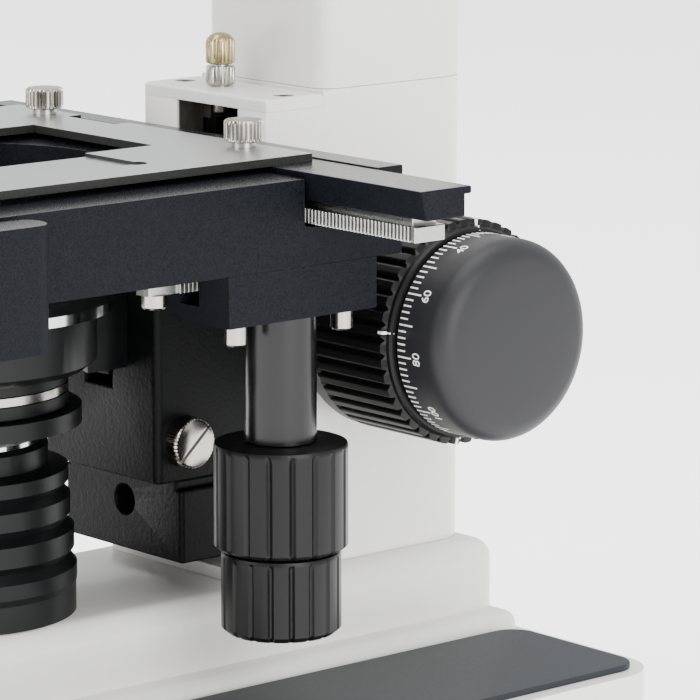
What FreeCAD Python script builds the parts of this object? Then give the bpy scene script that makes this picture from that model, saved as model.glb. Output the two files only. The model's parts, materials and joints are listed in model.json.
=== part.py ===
import FreeCAD, Part
import math
import os
import re
import Sketcher

# Compound laboratory microscope, millimetres, +Z up.
# Sizes are drawn from three places: the table (z = 0), the front face of the
# arm's guide (y = 0 before frameShift) and the plane of symmetry (x = 0).
# frameShift then brings the middle of the footprint box to y = 0.

dims = {
    "frameShift": 47.445, "axisY": -77.7, "gap": 0.4, "seam": 0.12,
    # base
    "baseHalf": 91, "baseFront": -165, "baseRear": 74, "baseCorner": 13, "baseWall": 4,
    "footTall": 4, "footRadius": 9, "deckTop": 31, "ledgeHalf": 39, "ledgeTop": 36,
    "ridgeHalf": 31.5, "ridgeTop": 54.2, "ridgeFront": -128, "ridgeRound": 5.5,
    "coverThick": 2, "matInner": 40.5, "matOuter": 87, "matFront": -148, "matRear": 69.5, "matThick": 1.6,
    # light in the base
    "collectorFoot": 28.65, "collectorTop": 97.5, "rimRadius": 20.7, "rimBore": 17.6, "lensRadius": 17.4,
    # arm
    "armHalf": 24, "armRear": 69, "armFront": 19, "armRound": 10, "frontRound": 5.5, "splitZ": 175,
    "guideTop": 174,
    "cheekLeft": -11, "cheekRight": 13, "plateThick": 3.2, "plateDepth": 18.4, "stopX": -5.3,
    "stopSpread": 19.4,
    "plinthFront": -12, "plinthTop": 57.5, "headLow": 268, "headHigh": 294, "headFront": -105,
    "headRadius": 27.5,
    # focus drive
    "focusY": 30, "focusZ": 118.3, "tubeRadius": 7, "fineRadius": 4.5, "runClear": 0.08,
    "pinionPitch": 6, "coarseInner": 33.1, "coarseOuter": 66.0, "coarseRadius": 27.9,
    "fineInner": 66.4, "fineOuter": 83.8, "fineCap": 24.9,
    # vertical carriage
    "carTop": 137, "carLow": 60, "carFront": -4, "carRear": 7.6,
    # stage bracket
    "bracketHalf": 23, "bracketFront": -34, "bracketRear": -4.4, "bracketLow": 82, "plateLow": 142.4,
    "footLow": 61.2, "footHalf": 23.5, "footFront": -27, "footHigh": 79.6,
    # stage, fixed layer
    "lowHalf": 58, "lowFront": -130, "lowRear": -20, "lowThick": 4.6, "lowBore": 32,
    # stage, Y layer
    "tableHalf": 71, "tableFront": -146, "topRear": -27.3, "tableTop": 162.5, "webLow": 147.4,
    "webTop": 150.9, "skirtLow": 141.8, "skirtInner": 61, "earRear": 3, "notchHalf": 27, "notchY": -2.6,
    "tableBore": 40, "guardOut": 82.5, "guardLow": 133, "guardTop": 161.8, "guardTip": -108,
    "guardFront": -157.5, "barHalf": 77.6, "barFront": -10.6, "barRear": -2.6, "barTop": 164.3,
    # X carriage
    "railHalf": 111, "railFront": -26.8, "railRear": -11.2, "railTop": 164, "railLow": 157,
    "rackTip": -24.5, "rackBack": -15.2, "rackLow": 151.3, "rackTop": 155, "rackLeft": 19,
    "rackRight": 106.4,
    "holderHalf": 58.4, "holderFront": -122, "holderRear": -14.3, "holderTop": 166, "holderThick": 2,
    "screwX": 39.7, "screwY": -20, "screwRadius": 4.8,
    # coaxial drive
    "driveX": 62.4, "driveY": -27.7, "drivePitch": 3.6, "sleeveRadius": 8.6, "sleeveLow": 99.2,
    "boxLow": 129.5, "boxLeft": 50, "boxFront": -50.3, "boxRear": -5, "bigRadius": 16.06, "bigLow": 72.9,
    "bigTop": 98.8, "smallRadius": 14.4, "smallLow": 52.4, "smallTop": 72.4,
    "yRackLow": 137, "yRackTip": 59.2, "yRackFront": -64.8,
    # condenser
    "chromeRadius": 38.4, "chromeLow": 128.5, "chromeTop": 131, "carrierRadius": 34.4, "carrierLow": 114.2,
    "carrierBore": 27.8, "bodyRadius": 27.4, "bodyLow": 105.4, "lensTop": 146.5, "lensMount": 13,
    "filterRadius": 30.5, "filterLow": 100.6, "filterTop": 104.8, "condKnobY": -27.8, "condKnobZ": 120,
    "pinX": -19, "pinY": -51.7, "pinRadius": 2,
    # nosepiece
    "tilt": 17, "shoulderZ": 239, "ringRadius": 23, "turretRadius": 35, "seatRadius": 12.6,
    # head
    "headTilt": 30, "hubZ": 313, "hubFace": 27, "linkThick": 13, "tubeEnd": 80, "eyeArm": 36,
    "eyeLift": 27.3,
    "clampZ": 286,
}
# name, length from shoulder to tip, sleeve radius
objectives = (("low", 27, 10.4), ("mid", 37.5, 11), ("high", 44.2, 12), ("oil", 44.7, 12))

doc = FreeCAD.newDocument("microscope")
sheet = doc.addObject("Spreadsheet::Sheet", "dims")
for row, (alias, size) in enumerate(dims.items(), 1):
    sheet.set(f"A{row}", alias)
    sheet.set(f"B{row}", str(size))
    sheet.setAlias(f"B{row}", alias)
doc.recompute()
nodes = {}


def rule(text):
    """Turn words such as deckTop into references to the sheet."""
    return re.sub(r"[A-Za-z]+", lambda m: "dims." + m.group() if m.group() in dims else m.group(), str(text))


def value(text):
    return float(sheet.evalExpression(rule(text)))


def bind(obj, **rules):
    for prop, text in rules.items():
        obj.setExpression(prop.replace("__", "."), rule(text))
    return obj


def place(obj, x, y, z, turn=None):
    """Put an object's origin at (x, y, z), with y counted from the arm's guide."""
    if turn:
        obj.Placement = FreeCAD.Placement(FreeCAD.Vector(), turn)
    bind(obj, Placement__Base__x=x, Placement__Base__y=f"{y}+frameShift", Placement__Base__z=z)
    return obj


turns = {
    "x": FreeCAD.Rotation(FreeCAD.Vector(0, 1, 0), 90),
    "y": FreeCAD.Rotation(FreeCAD.Vector(1, 0, 0), -90),
    "z": FreeCAD.Rotation(),
    "left": FreeCAD.Rotation(FreeCAD.Vector(0, 1, 0), -90),
    "front": FreeCAD.Rotation(FreeCAD.Vector(1, 0, 0), 90),
}


def box(x0, x1, y0, y1, z0, z1):
    piece = bind(doc.addObject("Part::Box", "Box"),
                 Length=f"({x1})-({x0})", Width=f"({y1})-({y0})", Height=f"({z1})-({z0})")
    return place(piece, x0, y0, z0)


def rod(length, radius, radiusEnd=None):
    """A cylinder, or a cone where radiusEnd is given, that stands on its own origin."""
    if radiusEnd is None:
        return bind(doc.addObject("Part::Cylinder", "Rod"), Radius=radius, Height=length)
    return bind(doc.addObject("Part::Cone", "Cone"), Radius1=radius, Radius2=radiusEnd, Height=length)


def drum(axis, x, y, z, length, radius, radiusEnd=None):
    return place(rod(length, radius, radiusEnd), x, y, z, turns[axis])


def tilted(piece, origin, turn, x, y, z):
    """Put a piece at (x, y, z) of a frame that is turned about origin."""
    piece.Placement = FreeCAD.Placement(origin + turn.multVec(FreeCAD.Vector(x, y, z)), turn)
    return piece


def fuse(*pieces):
    union = doc.addObject("Part::MultiFuse", "Fuse")
    union.Shapes = list(pieces)
    union.Refine = True
    return union


def cut(piece, *tools):
    result = doc.addObject("Part::Cut", "Cut")
    result.Base = piece
    result.Tool = tools[0] if len(tools) == 1 else fuse(*tools)
    result.Refine = True
    return result


def group(*pieces):
    together = doc.addObject("Part::Compound", "Group")
    together.Links = list(pieces)
    return together


def rounded(piece, radius, pick):
    """Fillet the edges whose bounding box pick(box) accepts."""
    doc.recompute()
    edges = [i for i, edge in enumerate(piece.Shape.Edges, 1) if pick(edge.BoundBox)]
    if not edges:
        raise RuntimeError("no edge to round on " + piece.Name)
    size = value(radius)
    fillet = doc.addObject("Part::Fillet", "Fillet")
    fillet.Base = piece
    fillet.Edges = [(i, size, size) for i in edges]
    return fillet


def upright(b):
    return b.XLength < 0.01 and b.YLength < 0.01


def profile(body, plane, points):
    """A closed polygon whose corners are bound to the sheet."""
    sketch = body.newObject("Sketcher::SketchObject", "Profile")
    origin = [f for f in body.Origin.OriginFeatures if f.Role == plane][0]
    sketch.AttachmentSupport = (origin, [""])
    sketch.MapMode = "FlatFace"
    spots = [FreeCAD.Vector(value(u), value(v), 0) for u, v in points]
    count = len(spots)
    for i in range(count):
        sketch.addGeometry(Part.LineSegment(spots[i], spots[(i + 1) % count]))
    for i in range(count):
        sketch.addConstraint(Sketcher.Constraint("Coincident", i, 2, (i + 1) % count, 1))
    for i, (u, v) in enumerate(points):
        for kind, text, where, line in (("DistanceX", u, spots[i].x, -2), ("DistanceY", v, spots[i].y, -1)):
            if abs(where) < 1e-6:
                sketch.addConstraint(Sketcher.Constraint("PointOnObject", i, 1, line))
            else:
                n = sketch.addConstraint(Sketcher.Constraint(kind, -1, 1, i, 1, where))
                sketch.setExpression(f"Constraints[{n}]", rule(text))
    return sketch


def lathe(points):
    """A turned piece: (radius, height) corners spun about its own Z axis."""
    body = doc.addObject("PartDesign::Body", "Turned")
    sketch = profile(body, "XZ_Plane", points)
    spin = body.newObject("PartDesign::Revolution", "Spin")
    spin.Profile = sketch
    spin.ReferenceAxis = (sketch, ["V_Axis"])
    spin.Angle = 360
    body.Tip = spin
    return body


def turned(points, x, y, z, turn=None):
    return place(lathe(points), x, y, z, turn)


def padded(plane, points, depth, x, y, z):
    body = doc.addObject("PartDesign::Body", "Padded")
    pad = body.newObject("PartDesign::Pad", "Pad")
    pad.Profile = profile(body, plane, points)
    bind(pad, Length=depth)
    body.Tip = pad
    return place(body, x, y, z)


def node(label, piece):
    piece.Label = label
    nodes[label] = piece
    return piece


def base():
    deck = box("-baseHalf", "baseHalf", "baseFront", "baseRear", "footTall", "deckTop")
    deck = rounded(deck, "baseCorner", upright)
    ledge = box("-ledgeHalf", "ledgeHalf", "ridgeFront-9", "baseRear-1", "deckTop", "ledgeTop")
    ledge = rounded(ledge, "3.5", lambda b: b.ZMin > value("ledgeTop") - 0.01 or upright(b))
    wall = box("-ridgeHalf", "ridgeHalf", "ridgeFront", "baseRear-2", "ledgeTop", "ridgeTop")
    wall = rounded(wall, "ridgeRound", lambda b: b.ZMin > value("ridgeTop") - 0.01 or upright(b))
    hollow = box("-baseHalf+baseWall", "baseHalf-baseWall", "baseFront+baseWall", "baseRear-baseWall",
                 "footTall", "deckTop-baseWall")
    tunnel = box("-ridgeHalf+7", "ridgeHalf-7", "ridgeFront+8", "baseRear-10", "deckTop-baseWall",
                 "ridgeTop-5")
    light = drum("z", 0, "axisY", "ridgeTop-8", 12, "rimBore")
    jack = drum("y", -40, "baseRear-6", 17, 12, 4.6)
    rocker = box("-baseHalf-1", "-baseHalf+6", "-49", "-27", 11, 26)
    dial = drum("x", "-baseHalf-1", -78, 18, 8, 4.2)
    node("base_shell", cut(fuse(deck, ledge, wall), hollow, tunnel, light, jack, rocker, dial))
    cover = box("-baseHalf+baseWall+gap", "baseHalf-baseWall-gap", "baseFront+baseWall+gap",
                "baseRear-baseWall-gap", "footTall", "footTall+coverThick")
    node("base_cover", cover)
    feet = [drum("z", sx, sy, 0, "footTall", "footRadius", "footRadius-1")
            for sx in ("-baseHalf+22", "baseHalf-22") for sy in ("baseFront+24", "baseRear-24")]
    node("rubber_feet", group(*feet))
    mats = []
    for x0, x1 in (("matInner", "matOuter"), ("-matOuter", "-matInner")):
        mat = box(x0, x1, "matFront", "matRear", "deckTop", "deckTop+matThick")
        mats.append(rounded(mat, "7", upright))
    node("deck_mats", group(*mats))


def light():
    steps = [(24.5, 0), ("collectorFoot", 0), ("collectorFoot", 6.4), (28.94, 8), (28.94, 11.6),
             (27.0, 13.9),
             (28.31, 15.6), (28.31, 20.6), (26.2, 22.3), (27.46, 24.2), (27.46, 28.6), (25.6, 30.4),
             (27.1, 32.2),
             (27.1, 35.6), (22.3, 36.6), (22.3, 41.2), ("rimRadius", 42.2), ("rimBore+1", 42.2),
             ("rimBore+1", 36),
             (24.5, 30)]
    node("collector_housing", turned(steps, 0, "axisY", "ridgeTop"))
    ring = [("rimBore", 36.2), ("rimBore+0.95", 36.2), ("rimBore+0.95", 42.3), ("rimRadius", 42.3),
            ("rimRadius", "collectorTop-ridgeTop"), ("rimBore", "collectorTop-ridgeTop")]
    node("collector_ring", turned(ring, 0, "axisY", "ridgeTop"))
    node("field_lens", drum("z", 0, "axisY", "collectorTop-5", 3.2, "rimBore-0.05"))
    board = drum("z", 0, "axisY", "ridgeTop-12", 3.6, 20)
    lamp = drum("z", 0, "axisY", "ridgeTop-8.4", 2.2, 6)
    node("led_board", fuse(board, lamp))
    shell = drum("y", -40, "baseRear-5", 17, 5.6, 4.5)
    back = drum("y", -40, "baseRear-15", 17, 10, 6)
    bore = drum("y", -40, "baseRear-10", 17, 12, 3.2)
    pin = drum("y", -40, "baseRear-12", 17, 11, 0.9)
    node("dc_inlet", fuse(cut(fuse(shell, back), bore), pin))
    knob = [(0, 0), (9.5, 0), (9.5, 6.5), (8.5, 7.5), (0, 7.5)]
    knob = turned(knob, "-baseHalf-0.4", -78, 18, turns["left"])
    stem = drum("x", "-baseHalf-1", -78, 18, 9, 4.1)
    node("dimmer_dial", fuse(knob, stem))
    rocker = padded("XY_Plane", [(-3, -10.3), (1.6, -9.9), (1.6, 9.9), (-3, 10.3), (-4.6, 9.9), (-3.4, 0),
                                 (-4.6, -9.9)], 13.4, "-baseHalf+3", -38, 11.8)
    rocker.Placement.Rotation = FreeCAD.Rotation(FreeCAD.Vector(0, 0, 1), 8)
    node("power_switch", rocker)


def arm():
    low = box("-armHalf", "armHalf", 0, "armRear", "ridgeTop", "splitZ-seam")
    low = rounded(low, "armRound", lambda b: upright(b) and b.YMin > value("armRear+frameShift") - 1)
    plinth = box("-armHalf", "armHalf", "plinthFront", 0, "ridgeTop", "plinthTop")
    slot = box("cheekLeft", "cheekRight", -1, 18, "plinthTop", "splitZ")
    seat = box("-armHalf-1", "armHalf+1", -1, "plateDepth+0.1", "guideTop-plateThick", "splitZ+1")
    room = box(-16, 16, 18, 56, 70, 168)
    bore = drum("x", "-armHalf-1", "focusY", "focusZ", 50, "tubeRadius+runClear")
    node("arm_lower", cut(fuse(low, plinth), slot, seat, room, bore))

    side = [("armRear", "splitZ"), ("armRear", "headHigh-14"), ("armRear-6", "headHigh-4"),
            ("armRear-14", "headHigh"), ("axisY", "headHigh"), ("axisY", "headLow"),
            ("armFront-24", "headLow"),
            ("armFront-12", "headLow-3.5"), ("armFront-3.5", "headLow-12"), ("armFront", "headLow-24"),
            ("armFront", "splitZ")]
    post = padded("YZ_Plane", side, "2*armHalf", "-armHalf", 0, 0)
    rear = value("armRear+frameShift") - 1
    post = rounded(post, "armRound", lambda b: upright(b) and b.YMin > rear)
    low = value("splitZ") + 1
    post = rounded(post, "frontRound", lambda b: upright(b) and b.ZMin < low and b.YMin < rear)
    nose = drum("z", 0, "axisY", "headLow", "headHigh-headLow", "headRadius")
    path = drum("z", 0, "axisY", "headLow-1", 40, 14)
    tap = drum("y", 0, "axisY-headRadius-1", "clampZ", 8, 2.5)
    node("arm_upper", cut(fuse(post, nose), path, tap))

    plate = box("-armHalf", "armHalf", 0, "plateDepth", "guideTop-plateThick", "guideTop")
    plate = rounded(plate, "0.8", lambda b: b.ZMin > value("guideTop") - 0.01 and b.YLength < 0.01)
    spread = ("-stopSpread", "stopSpread")
    sinks = [drum("z", sx, 9.5, "guideTop-plateThick+0.2", "plateThick", 2.6) for sx in spread]
    tap = drum("z", "stopX", 9.5, "guideTop-plateThick-1", 6, "2.05")
    node("stop_plate", cut(plate, tap, *sinks))
    node("stop_plate_screws", group(*[drum("z", sx, 9.5, "guideTop-plateThick+0.2", "plateThick-0.4", 2.55)
                                      for sx in spread]))
    screw = [(0, -7), (2, -7), (2, 0.3), (3.7, 0.3), (3.7, 5.2), (2.6, 5.6), (3.7, 6), (3.7, 12),
             (2, 13.2), (0, 13.5)]
    node("stop_screw", turned(screw, "stopX", 9.5, "guideTop"))
    rails = [box("cheekLeft+0.05", -5.6, 8.2, 17.9, "plinthTop+1", "guideTop-plateThick-5"),
             box(5.6, "cheekRight-0.05", 8.2, 17.9, "plinthTop+1", "guideTop-plateThick-5")]
    node("guide_rails", group(*rails))


def focusDrive():
    tube = drum("x", -62, "focusY", "focusZ", 124, "tubeRadius")
    bore = drum("x", -63, "focusY", "focusZ", 126, "fineRadius+runClear")
    pinion = drum("x", -5, "focusY", "focusZ", 10, "pinionPitch+1.2")
    node("coarse_tube", cut(fuse(tube, pinion), bore))
    node("fine_shaft", drum("x", "-fineInner-5.6", "focusY", "focusZ", "2*fineInner+11.2", "fineRadius"))
    coarse = [("tubeRadius+0.01", 0), ("coarseRadius-1", 0), ("coarseRadius", 1), ("coarseRadius", 29),
              ("coarseRadius-1.4", "coarseOuter-coarseInner"), ("fineCap-1.5", "coarseOuter-coarseInner"),
              ("fineCap-1.5", 28.5), ("tubeRadius+0.01", 28.5)]
    cap = [("fineRadius+0.01", 0), ("fineCap-2", 0), ("fineCap", 0.6), ("fineCap", 11.2),
           ("fineCap-0.45", 12.8),
           ("fineCap-1.76", 14.7), ("fineCap-3.7", 16), ("fineCap-6", 16.6), ("fineCap-13", 17.2),
           (0, "fineOuter-fineInner"),
           (0, 7), ("fineRadius+0.01", 7)]
    sides = ((turns["x"], ""), (turns["left"], "-"))
    node("coarse_knobs", group(*[turned(coarse, sign + "coarseInner", "focusY", "focusZ", turn)
                                 for turn, sign in sides]))
    node("fine_knobs", group(*[turned(cap, sign + "fineInner", "focusY", "focusZ", turn)
                               for turn, sign in sides]))
    block = box("cheekLeft+gap", "cheekRight-gap", "carFront", "carRear", "carLow", "carTop")
    tooth = box(-4.6, 4.6, "carRear", "focusY-pinionPitch-1.4", 90, 134)
    node("focus_carriage", fuse(block, tooth))


def bracket():
    plate = box("-bracketHalf", "bracketHalf", "bracketFront", "bracketRear", "bracketLow", "plateLow-0.02")
    plate = rounded(plate, "2", lambda b: upright(b) and b.YMax < value("bracketFront+frameShift") + 0.1)
    neck = box("-bracketHalf+1.5", "bracketHalf-1.5", "footFront", "bracketRear", "footHigh", "bracketLow")
    foot = box("-footHalf", "footHalf", "footFront", "bracketRear", "footLow", "footHigh")
    foot = rounded(foot, "1.2", upright)
    hole = drum("y", 0.8, "footFront-1", 73.8, 16, 3.7)
    slot = box(-5.2, 5.2, "bracketFront-1", "condKnobY+6", 104, 136)
    axle = drum("x", "-bracketHalf-1", "condKnobY", "condKnobZ", "bracketHalf+16", 3.08)
    node("stage_bracket", cut(fuse(plate, neck, foot), hole, slot, axle))
    head = [(0, 0), (6.4, 0), (6.4, 4.2), (6, 4.6), (0, 4.6)]
    node("bracket_screw", turned(head, "bracketHalf+0.01", -25.6, 92, turns["x"]))
    sheetLow = box("-lowHalf", "lowHalf", "lowFront", "lowRear", "plateLow", "plateLow+lowThick")
    node("stage_lower_plate", cut(sheetLow, drum("z", 0, "axisY", 140, 12, "lowBore")))
    rack = box("yRackTip-5.6", "yRackTip", "yRackFront", "lowRear+6", "yRackLow", "plateLow-0.01")
    end = drum("z", "yRackTip-2.8", "yRackFront+4", "yRackLow-3.2", 3.2, 3.1)
    node("y_rack", fuse(rack, end))


def stage():
    top = box("-tableHalf", "tableHalf", "tableFront", "topRear", "webLow", "tableTop")
    rear = box("-tableHalf", "tableHalf", "topRear", "earRear", "webLow", "webTop")
    skirts = [box(x0, x1, "tableFront", "earRear", "skirtLow", "webLow")
              for x0, x1 in (("skirtInner", "tableHalf"), ("-tableHalf", "-skirtInner"))]
    ears = [box(x0, x1, "barRear", "earRear", "webTop", 155)
            for x0, x1 in (("notchHalf", "tableHalf"), ("-tableHalf", "-notchHalf"))]
    notch = box("-notchHalf", "notchHalf", "notchY", "earRear+1", 140, 170)
    eye = drum("z", 0, "axisY", 140, 30, "tableBore")
    pocket = drum("z", "driveX", "driveY", "webTop", 5, 4.8)
    shaft = drum("z", "driveX", "driveY", 140, 12, 2.08)
    node("stage_table", cut(fuse(top, rear, *skirts, *ears), notch, eye, pocket, shaft))

    outer = rounded(box("-guardOut", "guardOut", "guardFront", "guardTip", "guardLow", "guardTop"), "16",
                    lambda b: upright(b) and b.YMax < value("guardFront+frameShift") + 1)
    inner = box("-tableHalf-gap", "tableHalf+gap", "tableFront-gap", "guardTip+1", "guardLow-1",
                "guardTop+1")
    guard = cut(outer, inner)
    guard = rounded(guard, "5.4", lambda b: upright(b) and b.YMin > value("guardTip+frameShift") - 0.1)
    foots = box("-skirtInner", "skirtInner", "tableFront-gap", "tableFront", "webLow", "tableTop-3")
    node("front_guard", fuse(guard, foots))
    node("x_guide_bar", box("-barHalf", "barHalf", "barFront", "barRear", "webTop", "barTop"))

    block = box("boxLeft", "tableHalf", "boxFront", "boxRear", "boxLow", "skirtLow-0.01")
    channel = box("yRackTip-6.6", "yRackTip+0.7", "boxFront-1", "boxRear+1", "yRackLow-3.6", "skirtLow+1")
    hollow = drum("z", "driveX", "driveY", "yRackLow-0.5", 8, 4.4)
    bore = drum("z", "driveX", "driveY", "boxLow-1", 12, 3.3)
    node("drive_housing", cut(block, channel, hollow, bore))
    node("drive_screws", group(*[drum("z", 66.5, sy, "boxLow-5", 5, 2.75) for sy in (-44.8, -12.1)]))
    sleeve = drum("z", "driveX", "driveY", "sleeveLow", "boxLow-sleeveLow-0.01", "sleeveRadius")
    node("drive_sleeve", cut(sleeve, drum("z", "driveX", "driveY", "sleeveLow-1", 40, 3.3)))

    big = drum("z", "driveX", "driveY", "bigLow", "bigTop-bigLow", "bigRadius")
    tube = drum("z", "driveX", "driveY", "bigLow", "141.4-bigLow", 3.2)
    gear = drum("z", "driveX", "driveY", "yRackLow", 4.4, "drivePitch-0.7")
    node("y_drive_knob", cut(fuse(big, tube, gear), drum("z", "driveX", "driveY", "bigLow-1", 80, 2.08)))
    small = drum("z", "driveX", "driveY", "smallLow", "smallTop-smallLow", "smallRadius")
    stem = drum("z", "driveX", "driveY", "smallLow", "rackTop-smallLow", 2)
    gear = drum("z", "driveX", "driveY", "rackLow", "rackTop-rackLow", "drivePitch-0.7")
    node("x_drive_knob", fuse(small, stem, gear))


def xCarriage():
    rail = padded("YZ_Plane", [("railFront", "railTop"), ("railFront+1.8", "railLow"),
                               ("railRear-2", "railLow"),
                               ("railRear-2", "railTop-1.8"), ("railRear", "railTop-1.8"),
                               ("railRear", "railTop")],
                  "2*railHalf", "-railHalf", 0, 0)
    node("x_rail", rail)
    rack = box("rackLeft", "rackRight", "rackTip", "rackBack", "rackLow", "rackTop")
    web = box("rackLeft+2", "rackRight-3", "rackTip+2", "rackBack", "rackTop", "railLow-0.01")
    node("x_rack", fuse(rack, web))
    plate = box("-holderHalf", "holderHalf", "holderFront", "holderRear", "holderTop-holderThick",
                "holderTop")
    window = box(-25, 23, "holderFront+9", -34.5, 160, 170)
    pocket = box(-45, 45, -108, -55, "holderTop-0.9", 170)
    relief = drum("z", 44, -56, "holderTop-0.9", 3, 2.6)
    bite = box(-32, -12.5, -18.6, -10, 160, 170)
    holes = [drum("z", sx, "screwY", 160, 10, 2.2) for sx in ("screwX", "-screwX")]
    node("slide_holder", cut(plate, window, pocket, relief, bite, *holes))
    grip = [(0, 0), (2.15, 0), (2.15, 2), (3, 2), (3, 3.4), ("screwRadius-0.5", 3.4), ("screwRadius", 4),
            ("screwRadius", 8), ("screwRadius-0.6", 8.8), (0, 8.8)]
    node("thumb_screws", group(*[turned(grip, sx, "screwY", "railTop") for sx in ("screwX", "-screwX")]))
    post = drum("z", -51.5, -70, "holderTop+0.05", 4.35, 4)
    finger = box(-51.5, -48, -103, -70, "holderTop+1", "holderTop+3")
    tip = drum("z", -48.6, -101, "holderTop+1", 2, 2.8)
    node("slide_clip", fuse(post, finger, tip))


def condenser():
    ring = [("carrierBore", 0), ("carrierRadius-2.6", 0), ("carrierRadius", 2), ("carrierRadius", 14.3),
            ("carrierBore", 14.3)]
    ring = turned(ring, 0, "axisY", "carrierLow")
    link = box(-12, 12, "axisY+carrierRadius-4", "bracketFront-gap", 110, 128)
    link = cut(link, drum("z", 0, "axisY", 100, 40, "carrierRadius-1"))
    tongue = box(-4.4, 4.4, "bracketFront-gap", "condKnobY-4.5", 107, 125)
    pin = drum("z", "pinX", "pinY", "filterLow", "carrierLow+3-filterLow", "pinRadius")
    node("condenser_carrier", fuse(ring, link, tongue, pin))
    chrome = [(16, 0), ("chromeRadius", 0), ("chromeRadius", 2.5), (16, 2.5)]
    node("condenser_ring", turned(chrome, 0, "axisY", "chromeLow+0.01"))
    stack = [(17.5, 0), ("bodyRadius", 0), ("bodyRadius", 3), (22.5, 3), (22.5, 5.6), ("bodyRadius", 5.6),
             ("bodyRadius", 22.8), (17.5, 22.8)]
    node("condenser_body", turned(stack, 0, "axisY", "bodyLow"))
    lens = [(0, 0), (15.5, 0), (15.5, 5), (14, 10), ("lensMount", 14),
            ("lensMount", "lensTop-chromeTop-0.6"),
            ("lensMount-2", "lensTop-chromeTop-0.6"), ("lensMount-2", "lensTop-chromeTop"),
            (0, "lensTop-chromeTop")]
    node("condenser_lens", turned(lens, 0, "axisY", "chromeTop+0.03"))
    iris = cut(drum("z", 0, "axisY", "bodyLow+3.3", 2, "bodyRadius"),
               drum("z", 0, "axisY", "bodyLow", 8, 22.8))
    arms = drum("x", -40, "axisY", "bodyLow+4.3", 14, 0.95)
    tip = drum("x", -45, "axisY", "bodyLow+4.3", 5, 2.6)
    node("iris_lever", fuse(cut(fuse(iris, arms), drum("z", 0, "axisY", "bodyLow", 8, 22.8)), tip))
    hoop = cut(drum("z", 0, "axisY", "filterLow", "filterTop-filterLow", "filterRadius"),
               drum("z", 0, "axisY", 90, 30, 16.6))
    ear = drum("z", "pinX", "pinY", "filterLow", "filterTop-filterLow", 4.4)
    eye = drum("z", "pinX", "pinY", 90, 30, "pinRadius+runClear")
    node("filter_holder", cut(fuse(hoop, ear), eye))
    node("filter_glass", drum("z", 0, "axisY", "filterLow+1", 2.2, 16.55))
    grip = drum("x", -47, "condKnobY", "condKnobZ", 17, 11)
    stem = drum("x", -30, "condKnobY", "condKnobZ", 44, 3)
    gear = drum("x", -4.4, "condKnobY", "condKnobZ", 8.8, 3.9)
    node("condenser_knob", fuse(grip, stem, gear))


def nosepiece():
    # the four objectives lean in a ring: their axes meet at the apex, above the table
    tilt = value("tilt")
    reach = value("ringRadius") / math.sin(math.radians(tilt))
    apex = FreeCAD.Vector(0, value("axisY+frameShift"), value("shoulderZ") + reach)
    turn = FreeCAD.Rotation(FreeCAD.Vector(1, 0, 0), tilt)
    middle = apex - turn.multVec(FreeCAD.Vector(0, 0, reach * math.cos(math.radians(tilt))))

    def along(piece, lift):
        return tilted(piece, middle, turn, 0, 0, lift)

    above = box(-60, 60, -160, 40, "headLow", 320)
    fixed = along(rod(30, "turretRadius", "turretRadius-4"), 12.5)
    node("nosepiece_base", cut(fixed, above, along(rod(6, 10), 11.6)))

    seats = []
    faces = []
    for i, (name, tall, wide) in enumerate(objectives):
        spin = turn.multiply(FreeCAD.Rotation(FreeCAD.Vector(0, 0, 1), 90 * i))
        spin = spin.multiply(FreeCAD.Rotation(FreeCAD.Vector(1, 0, 0), -tilt))
        foot = FreeCAD.Vector(0, 0, -reach)
        barrel = lathe([(0, 0), (10.1, 0), (10.1, -3), (wide, -3.6), (wide, -0.55 * tall),
                        (wide - 1.2, -0.58 * tall), (wide - 1.2, -0.72 * tall), (6.4, -0.86 * tall),
                        (4.2, 1 - tall), (3.4, -tall), (0, -tall)])
        node("objective_" + name, tilted(barrel, apex, spin, *foot))
        seats.append(tilted(rod(8, "seatRadius"), apex, spin, *foot))
        faces.append(tilted(rod(14, "seatRadius+0.4"), apex, spin, 0, 0, -reach - 14))
    skirt = along(rod(7, "turretRadius-7", "turretRadius"), -1)
    band = along(rod(6, "turretRadius"), 6)
    within = doc.addObject("Part::Common", "Within")
    within.Base = fuse(skirt, band, *seats)
    within.Tool = along(rod(24.1, "turretRadius"), -12)
    node("turret", cut(fuse(within, along(rod(4, 9.6), 11.9)), *faces))


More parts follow.
